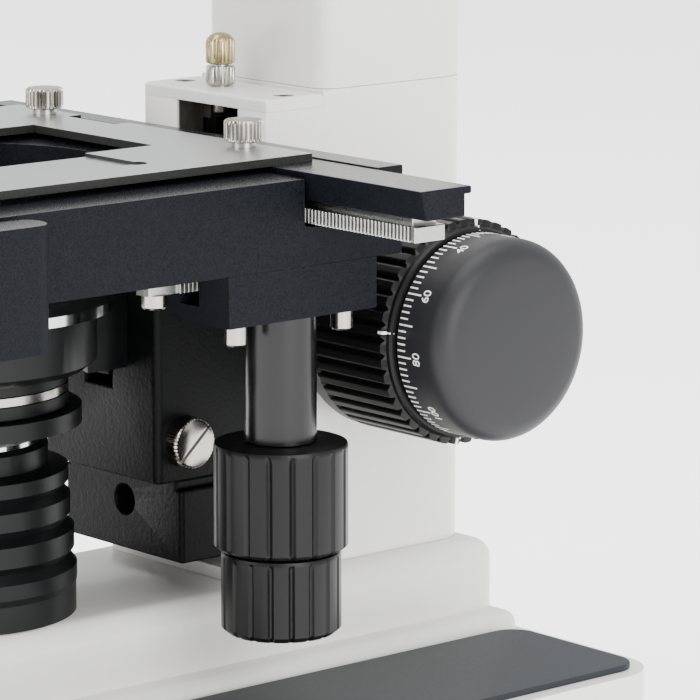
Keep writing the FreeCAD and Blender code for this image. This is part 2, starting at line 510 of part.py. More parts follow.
def head():
    # the eyetubes swing about a line that leans headTilt above the horizontal
    turn = FreeCAD.Rotation(FreeCAD.Vector(1, 0, 0), 90 - value("headTilt"))
    pivot = FreeCAD.Vector(0, value("axisY+frameShift"), value("hubZ"))
    collar = drum("z", 0, "axisY", "headHigh+gap", "6-gap", 24)
    bowl = turned([(0, 0), (30, 0), (30, 20), (27, 25), (20, 28), (0, 28)], 0, "axisY", "headHigh+6")
    snout = tilted(rod("hubFace+6", 25.5), pivot, turn, 0, 0, -6)
    ahead = tilted(rod(60, 60), pivot, turn, 0, 0, value("hubFace"))
    below = drum("z", 0, "axisY", "headHigh-34", 40, 60)
    node("head_body", fuse(collar, cut(fuse(bowl, snout), ahead, below)))

    wingStart = value("hubFace+gap")
    wingLength = value("2*linkThick+gap")
    tubeStart = wingStart + wingLength
    arm = value("eyeArm")
    tubeEnd = value("tubeEnd")
    wings = (("left", -1, 20, 0, 17.2, "linkThick+gap/2"), ("right", 1, 16.8, "linkThick+gap", 20.4, -1))
    for name, sign, hubRadius, hubLift, clearRadius, clearLift in wings:
        spin = turn.multiply(FreeCAD.Rotation(FreeCAD.Vector(0, 0, 1), sign * value("eyeLift")))

        def at(piece, x, y, z):
            return tilted(piece, pivot, spin, x, y, z)

        end = at(rod(wingLength, 18), sign * arm, 0, wingStart)
        web = bind(doc.addObject("Part::Box", "Web"), Length="eyeArm-12", Width=22, Height=wingLength)
        web = at(web, 12 if sign > 0 else -arm, -11, wingStart)
        clear = at(rod("linkThick+1+gap/2", clearRadius), 0, 0, wingStart + value(clearLift))
        hub = at(rod("linkThick", hubRadius), 0, 0, wingStart + value(hubLift))
        tube = at(rod(tubeEnd - tubeStart, 14.5), sign * arm, 0, tubeStart)
        bore = at(rod(tubeEnd, 11.8), sign * arm, 0, tubeStart)
        node("eyetube_" + name, cut(fuse(cut(fuse(end, web), clear), hub, tube), bore))
        lens = lathe([(0, -9), (11.7, -9), (11.7, 0.01), (16.4, 0.01), (16.4, 12), (17.2, 14), (17.2, 25),
                      (15.8, 26.4), (12, 26.4), (12, 21), (0, 21)])
        node("eyepiece_" + name, at(lens, sign * arm, 0, tubeEnd))
    spin = turn.multiply(FreeCAD.Rotation(FreeCAD.Vector(0, 0, 1), -value("eyeLift")))
    ring = cut(rod(9, 17), tilted(rod(12, 14.55), FreeCAD.Vector(), turns["z"], 0, 0, -1))
    node("dioptre_ring", tilted(ring, pivot, spin, -arm, 0, tubeEnd - 11))
    clamp = [(0, -4), (2.4, -4), (2.4, 2), (5.5, 2.6), (5.5, 11), (4.8, 12), (0, 12)]
    node("head_clamp", turned(clamp, 0, "axisY-headRadius", "clampZ", turns["front"]))


base()
light()
arm()
focusDrive()
bracket()
stage()
xCarriage()
condenser()
nosepiece()
head()
doc.recompute()

for piece in doc.Objects:
    if {"Invalid", "Error"} & set(piece.State):
        raise RuntimeError("failed: " + piece.Name + " " + piece.Label)
os.makedirs("parts", exist_ok=True)
for label, piece in nodes.items():
    if piece.Shape.isNull() or not piece.Shape.isValid():
        raise RuntimeError("bad shape: " + label)
    piece.Shape.exportStep(f"parts/{label}.step")
print(len(nodes), "nodes")
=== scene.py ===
import bpy
import bmesh
import json
import math
from mathutils import Matrix, Vector


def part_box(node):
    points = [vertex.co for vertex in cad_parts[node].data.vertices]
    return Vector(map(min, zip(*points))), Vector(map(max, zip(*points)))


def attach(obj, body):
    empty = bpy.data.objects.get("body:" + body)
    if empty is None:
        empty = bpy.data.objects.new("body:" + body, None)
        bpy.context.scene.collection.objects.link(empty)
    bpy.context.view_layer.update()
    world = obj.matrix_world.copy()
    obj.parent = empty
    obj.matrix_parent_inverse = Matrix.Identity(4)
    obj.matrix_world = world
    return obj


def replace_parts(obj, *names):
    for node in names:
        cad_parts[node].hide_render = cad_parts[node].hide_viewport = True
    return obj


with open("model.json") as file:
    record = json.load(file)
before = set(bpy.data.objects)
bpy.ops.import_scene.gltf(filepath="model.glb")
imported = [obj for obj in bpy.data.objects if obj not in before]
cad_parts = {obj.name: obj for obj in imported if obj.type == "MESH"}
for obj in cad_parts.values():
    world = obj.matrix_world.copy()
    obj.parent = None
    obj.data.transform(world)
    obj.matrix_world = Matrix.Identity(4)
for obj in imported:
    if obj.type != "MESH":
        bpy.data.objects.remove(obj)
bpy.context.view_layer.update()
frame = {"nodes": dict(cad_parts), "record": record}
nodes = frame["nodes"]
record = frame["record"]
mm = 0.001
bodyOf = {node: body for body, names in record["behaviour"]["bodies"].items() for node in names}
print("frame loaded:", len(nodes), "nodes")


# camera, floor and light

camera = {"azimuth": 49.13, "down": 10.85, "lens": 216.65, "place": (0.8128, -0.607855, 0.3082)}
studio = {"floor": 6.0, "sky": "#ffffff", "skyPower": 1.35}
lamps = [
    {"name": "top", "size": 1.4, "power": 34, "place": (0.1, -0.1, 1.5), "aim": (0, 0, 0.15)},
    {"name": "key", "size": 0.9, "power": 22, "place": (-0.35, -1.3, 0.95), "aim": (0, 0, 0.15)},
    {"name": "side", "size": 1.0, "power": 26, "place": (1.5, -0.2, 0.6), "aim": (0, 0, 0.15)},
]


def linear(hexText):
    parts = [int(hexText[i:i + 2], 16) / 255 for i in (1, 3, 5)]
    return tuple(c / 12.92 if c <= 0.04045 else ((c + 0.055) / 1.055) ** 2.4 for c in parts) + (1.0,)


def makeStudio():
    data = bpy.data.cameras.new("camera")
    data.lens = camera["lens"]
    data.clip_start = 0.01
    eye = bpy.data.objects.new("camera", data)
    eye.location = camera["place"]
    eye.rotation_euler = (math.radians(90 - camera["down"]), 0, math.radians(camera["azimuth"]))
    bpy.context.collection.objects.link(eye)
    bpy.context.scene.camera = eye

    bm = bmesh.new()
    bmesh.ops.create_grid(bm, x_segments=1, y_segments=1, size=studio["floor"])
    floor = bpy.data.objects.new("floor", bpy.data.meshes.new("floor"))
    bm.to_mesh(floor.data)
    bm.free()
    bpy.context.collection.objects.link(floor)
    floor.data.materials.append(finish["floor"])

    world = bpy.data.worlds.new("studio")
    world.use_nodes = True
    background = world.node_tree.nodes["Background"]
    background.inputs["Color"].default_value = linear(studio["sky"])
    background.inputs["Strength"].default_value = studio["skyPower"]
    bpy.context.scene.world = world

    for lamp in lamps:
        data = bpy.data.lights.new(lamp["name"], "AREA")
        data.size = lamp["size"]
        data.energy = lamp["power"]
        light = bpy.data.objects.new(lamp["name"], data)
        light.location = lamp["place"]
        aim = Vector(lamp["aim"]) - Vector(lamp["place"])
        light.rotation_euler = aim.to_track_quat("-Z", "Y").to_euler()
        bpy.context.collection.objects.link(light)


# finishes

def addNode(tree, kind, inputs=None, links=None, **settings):
    node = tree.nodes.new(kind)
    for key, value in settings.items():
        setattr(node, key, value)
    for key, value in (inputs or {}).items():
        node.inputs[key].default_value = value
    for key, source in (links or {}).items():
        tree.links.new(source, node.inputs[key])
    return node


def newFinish(name, colour, rough, metallic=0.0, grain=None, bump=0.0, mottle=0.0, stretch=(1, 1, 1),
              coat=0.0, coatRough=0.1, **sockets):
    # grain is the size of the surface's texture and bump its height, both in mm
    # mottle is how far the colour varies
    material = bpy.data.materials.new(name)
    material.use_nodes = True
    tree = material.node_tree
    shader = tree.nodes["Principled BSDF"]
    shader.inputs["Base Color"].default_value = linear(colour)
    shader.inputs["Roughness"].default_value = rough
    shader.inputs["Metallic"].default_value = metallic
    shader.inputs["Coat Weight"].default_value = coat
    shader.inputs["Coat Roughness"].default_value = coatRough
    for key, value in sockets.items():
        shader.inputs[key.replace("_", " ")].default_value = value
    if grain:
        place = addNode(tree, "ShaderNodeTexCoord")
        scaled = addNode(tree, "ShaderNodeMapping", inputs={"Scale": stretch},
                         links={"Vector": place.outputs["Object"]})
        noise = addNode(tree, "ShaderNodeTexNoise",
                        inputs={"Scale": 1 / (grain * mm), "Detail": 4, "Roughness": 0.6},
                        links={"Vector": scaled.outputs["Vector"]})
        if bump:
            lift = addNode(tree, "ShaderNodeBump", inputs={"Strength": 1.0, "Distance": bump * mm},
                           links={"Height": noise.outputs["Fac"]})
            tree.links.new(lift.outputs["Normal"], shader.inputs["Normal"])
        if mottle:
            tone = linear(colour)
            dark = tuple(c * (1 - mottle) for c in tone[:3]) + (1,)
            light = tuple(min(1, c * (1 + mottle)) for c in tone[:3]) + (1,)
            ramp = addNode(tree, "ShaderNodeValToRGB", links={"Fac": noise.outputs["Fac"]})
            ramp.color_ramp.elements[0].position = 0.35
            ramp.color_ramp.elements[0].color = dark
            ramp.color_ramp.elements[1].position = 0.65
            ramp.color_ramp.elements[1].color = light
            tree.links.new(ramp.outputs["Color"], shader.inputs["Base Color"])
            spread = addNode(tree, "ShaderNodeMapRange",
                             inputs={"To Min": rough * 0.9, "To Max": min(1, rough * 1.12)},
                             links={"Value": noise.outputs["Fac"]})
            tree.links.new(spread.outputs["Result"], shader.inputs["Roughness"])
    return material


finish = {
    # matt paper sweep, bright and without a highlight
    "floor": newFinish("paleSweep", "#f4f4f3", 0.8, Specular_IOR_Level=0.1, Emission_Strength=1.3,
                       Emission_Color=(1, 1, 1, 1)),
    # baked warm-white enamel: glossy, with a faint orange peel 3 mm across
    "whiteEnamel": newFinish("whiteEnamel", "#dad9d5", 0.32, grain=3.0, bump=0.012, mottle=0.012, coat=0.35,
                             coatRough=0.12),
    # fine wrinkle paint on the stage's sides: 0.4 mm grains that break up the light
    "wrinkleBlack": newFinish("wrinkleBlack", "#0b0d12", 0.5, grain=0.4, bump=0.12, mottle=0.85,
                              Specular_IOR_Level=0.08),
    # hard-anodised satin black top of the stage, which mirrors the light softly; its base colour is lighter
    # than the sides' black, a painted reflection of the light that falls on these up-facing tops
    "anodisedBlackAndPaintedSheen": newFinish("anodisedBlackAndPaintedSheen", "#15161a", 0.27, grain=0.3, bump=0.006, mottle=0.1,
                               Specular_IOR_Level=0.7),
    # painted casting: charcoal with the coarse skin of the mould
    "castCharcoal": newFinish("castCharcoal", "#08090a", 0.45, grain=1.1, bump=0.16, mottle=0.2,
                              Specular_IOR_Level=0.1),
    # black gloss enamel on turned brass: a narrow, clean highlight
    "glossBlack": newFinish("glossBlack", "#070708", 0.24, grain=1.5, bump=0.01, mottle=0.1, coat=0.05,
                            Specular_IOR_Level=0.3),
    # semi-gloss black on turned aluminium: a soft line of light down each turned face
    "turnedBlack": newFinish("turnedBlack", "#08090a", 0.36, grain=0.8, bump=0.02, mottle=0.15,
                             stretch=(1, 1, 6), Specular_IOR_Level=0.18),
    # brushed and clear-anodised aluminium plate, hairlines along X
    "brushedAluminium": newFinish("brushedAluminium", "#c2c4c6", 0.34, metallic=1.0, grain=0.5, bump=0.01,
                                  mottle=0.06, stretch=(0.05, 1, 1)),
    # sawn edge of the steel plate, painted black and rubbed
    "darkEdge": newFinish("darkEdge", "#1b1b1a", 0.45, grain=0.5, bump=0.05, mottle=0.5,
                          Specular_IOR_Level=0.3),
    # oiled steel of the guide, dull and slightly brown
    "dullSteel": newFinish("dullSteel", "#6b6862", 0.42, metallic=0.8, grain=0.8, bump=0.02, mottle=0.25,
                           stretch=(1, 1, 0.1)),
    # ground tool steel: bright, with a fine even grain
    "groundSteel": newFinish("groundSteel", "#a9a9a6", 0.28, metallic=1.0, grain=0.6, bump=0.012,
                             mottle=0.06),
    # bright nickel plate on turned parts: clear reflections, slightly warm
    "nickel": newFinish("nickel", "#a3a09a", 0.2, metallic=1.0, grain=1.2, bump=0.006, mottle=0.04),
    # older nickel with a yellow cast
    "warmNickel": newFinish("warmNickel", "#a99c77", 0.26, metallic=1.0, grain=1.2, bump=0.006, mottle=0.05),
    # chrome plate: close to a mirror, slightly cold
    "chrome": newFinish("chrome", "#c4c6c8", 0.12, metallic=1.0, grain=2.0, bump=0.004, mottle=0.03),
    # blued steel of the guides: dark metal with a cold sheen
    "bluedSteel": newFinish("bluedSteel", "#1b1d20", 0.32, metallic=0.9, grain=0.7, bump=0.01, mottle=0.2),
    # moulded ABS with a fine spark-eroded texture that dulls the highlight
    "blackPlastic": newFinish("blackPlastic", "#0c0c0d", 0.36, grain=0.35, bump=0.02, mottle=0.12,
                              Specular_IOR_Level=0.2),
    # smooth moulded ABS: the same black with a tighter highlight
    "smoothPlastic": newFinish("smoothPlastic", "#0a0b0c", 0.3, grain=0.6, bump=0.004, mottle=0.08,
                               Specular_IOR_Level=0.2),
    # grey soft-touch lacquer: broad, dull highlight and a fine grain
    "softTouch": newFinish("softTouch", "#1d1d20", 0.46, grain=0.25, bump=0.01, mottle=0.05,
                           Sheen_Weight=0.04, Specular_IOR_Level=0.25),
    # slate PVC mat whose pebbled skin scatters the light
    "slateMat": newFinish("slateMat", "#1f2328", 0.5, grain=0.7, bump=0.05, mottle=0.08,
                          Specular_IOR_Level=0.25),
    # natural rubber: flat, almost no highlight
    "rubber": newFinish("rubber", "#1a1a1a", 0.75, grain=0.5, bump=0.03, mottle=0.12),
    # soft silicone eyecup: a faint satin edge
    "eyecup": newFinish("eyecup", "#1c1c1e", 0.62, grain=0.4, bump=0.015, mottle=0.1),
    # screen-printed white ink: flat and even
    "whiteInk": newFinish("whiteInk", "#f2f2f0", 0.55, grain=0.2, mottle=0.03),
    # paint filled into the engraved bands of the objectives
    "redInk": newFinish("redInk", "#b5202a", 0.5, grain=0.2, mottle=0.04),
    "yellowInk": newFinish("yellowInk", "#e3b81e", 0.5, grain=0.2, mottle=0.04),
    "blueInk": newFinish("blueInk", "#2f77c4", 0.5, grain=0.2, mottle=0.04),
    # coated optical glass: clear, with a sharp reflection
    "lensGlass": newFinish("lensGlass", "#dfe9ee", 0.03, grain=4, mottle=0.02, IOR=1.52,
                           Transmission_Weight=0.9, coat=0.6, coatRough=0.02),
    # frosted diffuser over the lamp: milky, no clear reflection
    "frostedGlass": newFinish("frostedGlass", "#eef1f2", 0.45, grain=0.4, bump=0.02, mottle=0.03, IOR=1.5,
                              Transmission_Weight=0.7),
    # lamp board: white solder mask
    "boardWhite": newFinish("boardWhite", "#e8e6da", 0.5, grain=0.8, mottle=0.05),
}
print("finishes made:", len(finish))


# helpers

def finished(bm, name, node, material, smooth=35, bevel=0.0, place=None):
    if place:
        bm.transform(place)
    bmesh.ops.remove_doubles(bm, verts=bm.verts, dist=1e-6)
    bmesh.ops.recalc_face_normals(bm, faces=bm.faces)
    mesh = bpy.data.meshes.new(name)
    bm.to_mesh(mesh)
    bm.free()
    piece = bpy.data.objects.new(name, mesh)
    bpy.context.collection.objects.link(piece)
    piece.data.materials.append(finish[material])
    mesh.shade_smooth()
    mesh.set_sharp_from_angle(angle=math.radians(smooth))
    if bevel:
        edge = piece.modifiers.new("edge", "BEVEL")
        edge.width = bevel * mm
        edge.segments = 2
        edge.limit_method = "ANGLE"
        edge.angle_limit = math.radians(40)
        edge.harden_normals = True
    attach(piece, bodyOf[node])
    return piece


def softened(node, material, bevel, topMaterial=None):
    # the CAD shape with its edges broken as the real part's are
    # faces that look up may have their own finish; on the black pieces this is a lighter black, partly a
    # painted reflection of the light on their tops
    bm = bmesh.new()
    bm.from_mesh(nodes[node].data)
    bmesh.ops.remove_doubles(bm, verts=bm.verts, dist=2e-6)
    bmesh.ops.dissolve_limit(bm, angle_limit=math.radians(0.5), verts=bm.verts, edges=bm.edges)
    if topMaterial:
        for face in bm.faces:
            face.material_index = 1 if face.normal.z > 0.9 else 0
    piece = finished(bm, node + "_skin", node, material, bevel=bevel)
    if topMaterial:
        piece.data.materials.append(finish[topMaterial])
    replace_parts(piece, node)
    return piece


def paint(node, material):
    mesh = nodes[node].data
    mesh.materials.clear()
    mesh.materials.append(finish[material])


def turnedPiece(name, node, material, profile, place, steps=96, shape=None, smooth=35):
    # profile: (radius, height) corners in mm, spun about the local Z axis
    bm = bmesh.new()
    corners = [bm.verts.new((r * mm, 0, h * mm)) for r, h in profile]
    edges = [bm.edges.new(pair) for pair in zip(corners, corners[1:])]
    if profile[0][0] > 0:
        edges.append(bm.edges.new((corners[-1], corners[0])))
    bmesh.ops.spin(bm, geom=corners + edges, cent=(0, 0, 0), axis=(0, 0, 1), angle=2 * math.pi, steps=steps,
                   use_merge=True)
    bmesh.ops.remove_doubles(bm, verts=bm.verts, dist=1e-6)
    if shape:
        for vert in bm.verts:
            shape(vert)
    return finished(bm, name, node, material, smooth=smooth, place=place)


def grooves(count, share, depth, low, high, inner):
    # presses count grooves into what lies outside the inner radius, between two heights
    def press(vert):
        radius = math.hypot(vert.co.x, vert.co.y)
        if radius < inner * mm or not low * mm < vert.co.z < high * mm:
            return
        phase = (math.atan2(vert.co.y, vert.co.x) * count / (2 * math.pi)) % 1
        across = abs(phase - 0.5) / (share / 2)
        if across < 1:
            keep = 1 - depth * mm * math.cos(across * math.pi / 2) ** 0.7 / radius
            vert.co.x *= keep
            vert.co.y *= keep
    return press


def addBox(bm, low, high, turn=None):
    # corners in mm; turn swings the finished box about the origin
    centre = [(a + b) / 2 * mm for a, b in zip(low, high)]
    size = [(b - a) * mm for a, b in zip(low, high)]
    place = Matrix.Translation(centre) @ Matrix.Diagonal((*size, 1))
    bmesh.ops.create_cube(bm, size=1, matrix=turn @ place if turn else place)


def carve(piece, tool):
    cut = piece.modifiers.new("cut", "BOOLEAN")
    cut.operation = "DIFFERENCE"
    cut.object = tool
    cut.solver = "EXACT"
    mesh = bpy.data.meshes.new_from_object(piece.evaluated_get(bpy.context.evaluated_depsgraph_get()))
    piece.modifiers.clear()
    piece.data = mesh
    bpy.data.objects.remove(tool)


def toolPiece(bm, place):
    bm.transform(place)
    tool = bpy.data.objects.new("tool", bpy.data.meshes.new("tool"))
    bm.to_mesh(tool.data)
    bm.free()
    bpy.context.collection.objects.link(tool)
    return tool


def carveSocket(piece, radius, place):
    # a hexagon socket, 1.5 mm deep, in the face at the given place
    bm = bmesh.new()
    bmesh.ops.create_cone(bm, cap_ends=True, segments=6, radius1=radius * mm, radius2=radius * mm,
                          depth=3 * mm)
    carve(piece, toolPiece(bm, place))


def centreOf(node):
    low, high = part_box(node)
    return (low + high) / 2


def pointing(axis, at):
    # a frame whose local Z runs along axis, with its origin at the given point
    return Matrix.Translation(at) @ Vector(axis).to_track_quat("Z", "Y").to_matrix().to_4x4()


# castings, plates and other pieces that keep the CAD shape with softened edges

softEdges = {"base_shell": ("whiteEnamel", 0.8), "arm_lower": ("whiteEnamel", 0.18),
             "arm_upper": ("whiteEnamel", 0.18), "stop_plate": ("whiteEnamel", 0.4),
             "deck_mats": ("slateMat", 0.4), "base_cover": ("castCharcoal", 0.4),
             "stage_lower_plate": ("wrinkleBlack", 0.4), "drive_housing": ("wrinkleBlack", 0.3),
             "stage_bracket": ("castCharcoal", 0.7), "focus_carriage": ("castCharcoal", 0.4),
             "guide_rails": ("bluedSteel", 0.2), "slide_clip": ("nickel", 0.4),
             "iris_lever": ("nickel", 0.2), "condenser_carrier": ("turnedBlack", 0.3),
             "power_switch": ("smoothPlastic", 0.4), "head_body": ("whiteEnamel", 1.0),
             "eyetube_left": ("whiteEnamel", 0.8), "eyetube_right": ("whiteEnamel", 0.8),
             "nosepiece_base": ("whiteEnamel", 0.6), "rubber_feet": ("rubber", 0.4),
             "dc_inlet": ("smoothPlastic", 0.2), "led_board": ("boardWhite", 0.2), }
# pieces whose upward faces have a finish of their own: brushed aluminium on the slide holder, and on the
# black pieces a lighter, shinier black that is partly a painted reflection of light
twoTone = {"stage_table": ("wrinkleBlack", 0.35, "anodisedBlackAndPaintedSheen"),
           "slide_holder": ("darkEdge", 0.12, "brushedAluminium"),
           "front_guard": ("wrinkleBlack", 0.5, "anodisedBlackAndPaintedSheen"),
           "x_rail": ("wrinkleBlack", 0.35, "anodisedBlackAndPaintedSheen"),
           "x_guide_bar": ("wrinkleBlack", 0.3, "anodisedBlackAndPaintedSheen"), }
# pieces that keep the CAD mesh and only take a finish
plainNodes = {
    "field_lens": "frostedGlass", "coarse_tube": "groundSteel", "fine_shaft": "groundSteel",
    "filter_glass": "frostedGlass", "collector_ring": "chrome", "condenser_ring": "chrome",
    "collector_housing": "turnedBlack", "condenser_body": "turnedBlack", "condenser_lens": "nickel",
    "filter_holder": "turnedBlack", "drive_sleeve": "glossBlack", "turret": "nickel",
}


def makeSoftEdged():
    for node, (material, bevel) in softEdges.items():
        softened(node, material, bevel)
    for node, (material, bevel, topMaterial) in twoTone.items():
        softened(node, material, bevel, topMaterial)
    for node, material in plainNodes.items():
        paint(node, material)
    print("plates and castings made")


# focus knobs, on the right and mirrored on the left

coarse = {"start": 33.1, "lobes": 44, "grooveShare": 0.42, "depth": 1.3, "bandEnd": 5.0, "gripEnd": 16,
          "ringStart": 31.0, "boreEnd": 28.6, "markWidth": 0.36, "markTurn": -6.4}
fine = {"start": 66.4, "bore": 4.52, "boreEnd": 7, "fillet": 11.3, "domeTurn": 81, "domeIn": 6.0,
        "domeRise": 5.5, "domeSteps": 10, "ticks": 100, "tickStart": 0.75, "tickShort": 2.6,
        "tickLong": 4.6, "tickWide": 0.4, "perTurn": 200, "numberStep": 20, "digitSize": 3.4,
        "digitAt": 5.9, "digitTall": 0.72, "digitThick": 0.06, "zeroAngle": -48.2, "ink": 0.05}


def makeFocusKnobs():
    axis = centreOf("coarse_tube")
    coarseLow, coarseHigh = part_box("coarse_knobs")
    fineLow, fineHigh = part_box("fine_knobs")
    rim = (coarseHigh.z - coarseLow.z) / 2 / mm
    cap = (fineHigh.z - fineLow.z) / 2 / mm
    tube = (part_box("coarse_tube")[1].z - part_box("coarse_tube")[0].z) / 2 / mm
    long = coarseHigh.x / mm - coarse["start"]
    capLong = fineHigh.x / mm - fine["start"]
    band = coarse["bandEnd"]
    ring = coarse["ringStart"]
    half = coarse["markWidth"] / 2
    for side, sign in (("right", 1), ("left", -1)):
        # local Z points outwards; local X points up on both sides
        turn = Matrix(((0, 0, sign), (0, -sign, 0), (1, 0, 0))).to_4x4()
        base = Matrix.Translation((sign * coarse["start"] * mm, axis.y, axis.z)) @ turn
        base = base @ Matrix.Rotation(math.radians(coarse["markTurn"]), 4, "Z")
        front = Matrix.Translation((sign * fine["start"] * mm, axis.y, axis.z)) @ turn
        body = [(tube + 0.02, 0), (rim - 1.2, 0), (rim - 0.5, 0.25), (rim - 0.3, 0.9),
                (rim - 0.3, band - 0.7), (rim - 0.1, band - 0.2), (rim, band), (rim, band + 0.5),
                (rim, band + 1.2), (rim, coarse["gripEnd"]), (rim, ring - 1.2), (rim, ring - 0.5),
                (rim, ring), (rim - 1.6, ring + 0.4), (rim - 1.8, long - 0.7), (rim - 2.3, long - 0.15),
                (rim - 2.9, long), (cap - 1.6, long), (cap - 1.6, coarse["boreEnd"]),
                (tube + 0.02, coarse["boreEnd"])]
        grip = grooves(coarse["lobes"], coarse["grooveShare"], coarse["depth"], band + 0.1, ring + 0.1,
                       rim - 1)
        piece = turnedPiece("coarse_grip_" + side, "coarse_knobs", "blackPlastic", body, base,
                            steps=coarse["lobes"] * 10, shape=grip, smooth=28)
        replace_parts(piece, "coarse_knobs")
        # white index marks at every quarter turn, over the ring and down its face
        bm = bmesh.new()
        for i in range(4):
            quarter = Matrix.Rotation(i * math.pi / 2, 4, "Z")
            addBox(bm, (rim - 2.6, -half, ring + 0.3), (rim - 1.5, half, long - 0.5), quarter)
            addBox(bm, (rim - 2.0, -half * 2, ring - 1.0), (rim + 0.03, half * 2, ring + 0.45), quarter)
            addBox(bm, (cap + 0.3, -half, long - 0.6), (rim - 2.6, half, long + 0.03), quarter)
        finished(bm, "coarse_marks_" + side, "coarse_knobs", "whiteInk", place=base)

        dome = [(fine["bore"], 0), (cap - 1.2, 0), (cap - 0.25, 0.25), (cap, 0.7), (cap, fine["fillet"])]
        for step in range(1, fine["domeSteps"] + 1):
            angle = step / fine["domeSteps"] * math.radians(fine["domeTurn"])
            radius = cap - fine["domeIn"] * (1 - math.cos(angle))
            dome.append((radius, fine["fillet"] + fine["domeRise"] * math.sin(angle)))
        dome += [(cap * 0.62, capLong - 0.42), (cap * 0.35, capLong - 0.16), (0, capLong - 0.02),
                 (0, fine["boreEnd"]), (fine["bore"], fine["boreEnd"])]
        piece = turnedPiece("fine_cap_" + side, "fine_knobs", "softTouch", dome, front, steps=160, smooth=50)
        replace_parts(piece, "fine_knobs")
        makeScale(side, front, cap)
    print("focus knobs made")


def makeScale(side, front, cap):
    bm = bmesh.new()
    ink = fine["ink"]
    half = fine["tickWide"] / 2
    start = fine["tickStart"]
    for i in range(fine["ticks"]):
        tall = fine["tickLong"] if i % 5 == 0 else fine["tickShort"]
        angle = 2 * math.pi * i / fine["ticks"] + math.radians(fine["zeroAngle"])
        addBox(bm, (cap - 0.15, -half, start), (cap + ink, half, start + tall),
               Matrix.Rotation(angle, 4, "Z"))
    finished(bm, "fine_ticks_" + side, "fine_knobs", "whiteInk", place=front)

    bm = bmesh.new()
    for number in range(0, fine["perTurn"], fine["numberStep"]):
        words = bpy.data.curves.new("digits", "FONT")
        words.body = str(number)
        words.size = fine["digitSize"] * mm
        words.align_x = "CENTER"
        words.extrude = fine["digitThick"] * mm
        words.offset = 0.01 * mm
        text = bpy.data.objects.new("digits", words)
        bpy.context.collection.objects.link(text)
        mesh = bpy.data.meshes.new_from_object(text.evaluated_get(bpy.context.evaluated_depsgraph_get()))
        bpy.data.objects.remove(text)
        angle = math.radians(fine["zeroAngle"] + 360 * number / fine["perTurn"])
        # lay the flat digits round the rim: their tops point at the ticks
        for vert in mesh.vertices:
            along = vert.co.x / (cap * mm)
            radius = (cap + ink) * mm - fine["digitThick"] * mm + vert.co.z
            high = (fine["digitAt"] + fine["digitTall"] * fine["digitSize"]) * mm - vert.co.y
            where = angle - along
            vert.co = (radius * math.cos(where), radius * math.sin(where), high)
        bm.from_mesh(mesh)
        bpy.data.meshes.remove(mesh)
    finished(bm, "fine_digits_" + side, "fine_knobs", "whiteInk", smooth=20, place=front)


# the guide's steel facing

guide = {"facing": 7.6, "thick": 0.26, "railWide": 3.3}


def makeGuideFacing():
    # the thin steel facing on the slot's left wall, and the rail's upper end
    low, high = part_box("guide_rails")
    wall = low.x / mm - 0.02
    front = low.y / mm
    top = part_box("stop_plate")[0].z / mm - 0.2
    bm = bmesh.new()
    addBox(bm, (wall, front - guide["facing"], low.z / mm), (wall + guide["thick"], high.y / mm, top))
    addBox(bm, (wall, front + 0.02, high.z / mm - 1), (wall + guide["railWide"], high.y / mm, top - 0.3))
    finished(bm, "guide_facing", "guide_rails", "dullSteel")
    print("guide facing made")


# coaxial stage knobs: the X knob is solid below the Y knob, whose bore lets the X stem through

stageKnobs = {"grooves": 18, "depth": 0.75, "rise": 1.4, "gear": 2.9, "gearTall": 4.4}
knobShapes = {
    "y_drive_knob": {"chamfer": 1.1, "share": 0.24, "tall": 25.9, "stem": 3.2, "bore": 2.1},
    "x_drive_knob": {"chamfer": 1.5, "share": 0.28, "tall": 20.0, "stem": 2.0, "bore": 0},
}


def makeStageKnobs():
    rise = stageKnobs["rise"]
    gear = stageKnobs["gear"]
    for node, knob in knobShapes.items():
        low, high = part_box(node)
        centre = (low + high) / 2
        radius = (high.x - low.x) / 2 / mm
        top = (high.z - low.z) / mm
        place = Matrix.Translation((centre.x, centre.y, low.z))
        tall, chamfer, bore, stem = (knob[key] for key in ("tall", "chamfer", "bore", "stem"))
        outline = [(bore, 0), (radius - chamfer - 1, 0), (radius - chamfer, 0.15),
                   (radius - chamfer * 0.3, chamfer * 0.7), (radius, chamfer),
                   (radius, chamfer + rise * 0.4), (radius, chamfer + rise), (radius, tall / 2),
                   (radius, tall - 1 - rise), (radius, tall - 1 - rise * 0.4), (radius, tall - 0.8),
                   (radius - 0.25, tall - 0.2), (radius - 0.8, tall), (stem, tall),
                   (stem, top - stageKnobs["gearTall"] - 0.2), (gear, top - stageKnobs["gearTall"]),
                   (gear, top), (bore, top)]
        press = grooves(stageKnobs["grooves"], knob["share"], stageKnobs["depth"], -1, tall - 1.2,
                        radius - chamfer - 0.2)
        piece = turnedPiece(node + "_grip", node, "blackPlastic", outline, place,
                            steps=stageKnobs["grooves"] * 20, shape=press, smooth=40)
        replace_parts(piece, node)
    print("stage knobs made")


# racks, screws and small metal

rack = {"pitch": 1.257, "depth": 0.85, "root": 0.95, "tip": 0.5, "sunk": 0.2, "toothTall": 3.7}


def addTeeth(bm, start, count, along, out, low, high):
    # teeth are short wedges standing on the bar's face; along and out are unit vectors
    turn = Matrix((along, out, Vector((0, 0, 1)))).transposed().to_4x4()
    for i in range(count):
        at = start + along * (i + 0.5) * rack["pitch"] * mm
        wedge = bmesh.ops.create_cube(bm, size=1)["verts"]
        for vert in wedge:
            wide = rack["tip"] if vert.co.y > 0 else rack["root"]
            vert.co.x *= wide * mm
            vert.co.y = (rack["depth"] if vert.co.y > 0 else -rack["sunk"]) * mm
            vert.co.z *= high - low
        bmesh.ops.transform(bm, verts=wedge,
                            matrix=Matrix.Translation((at.x, at.y, (low + high) / 2)) @ turn)


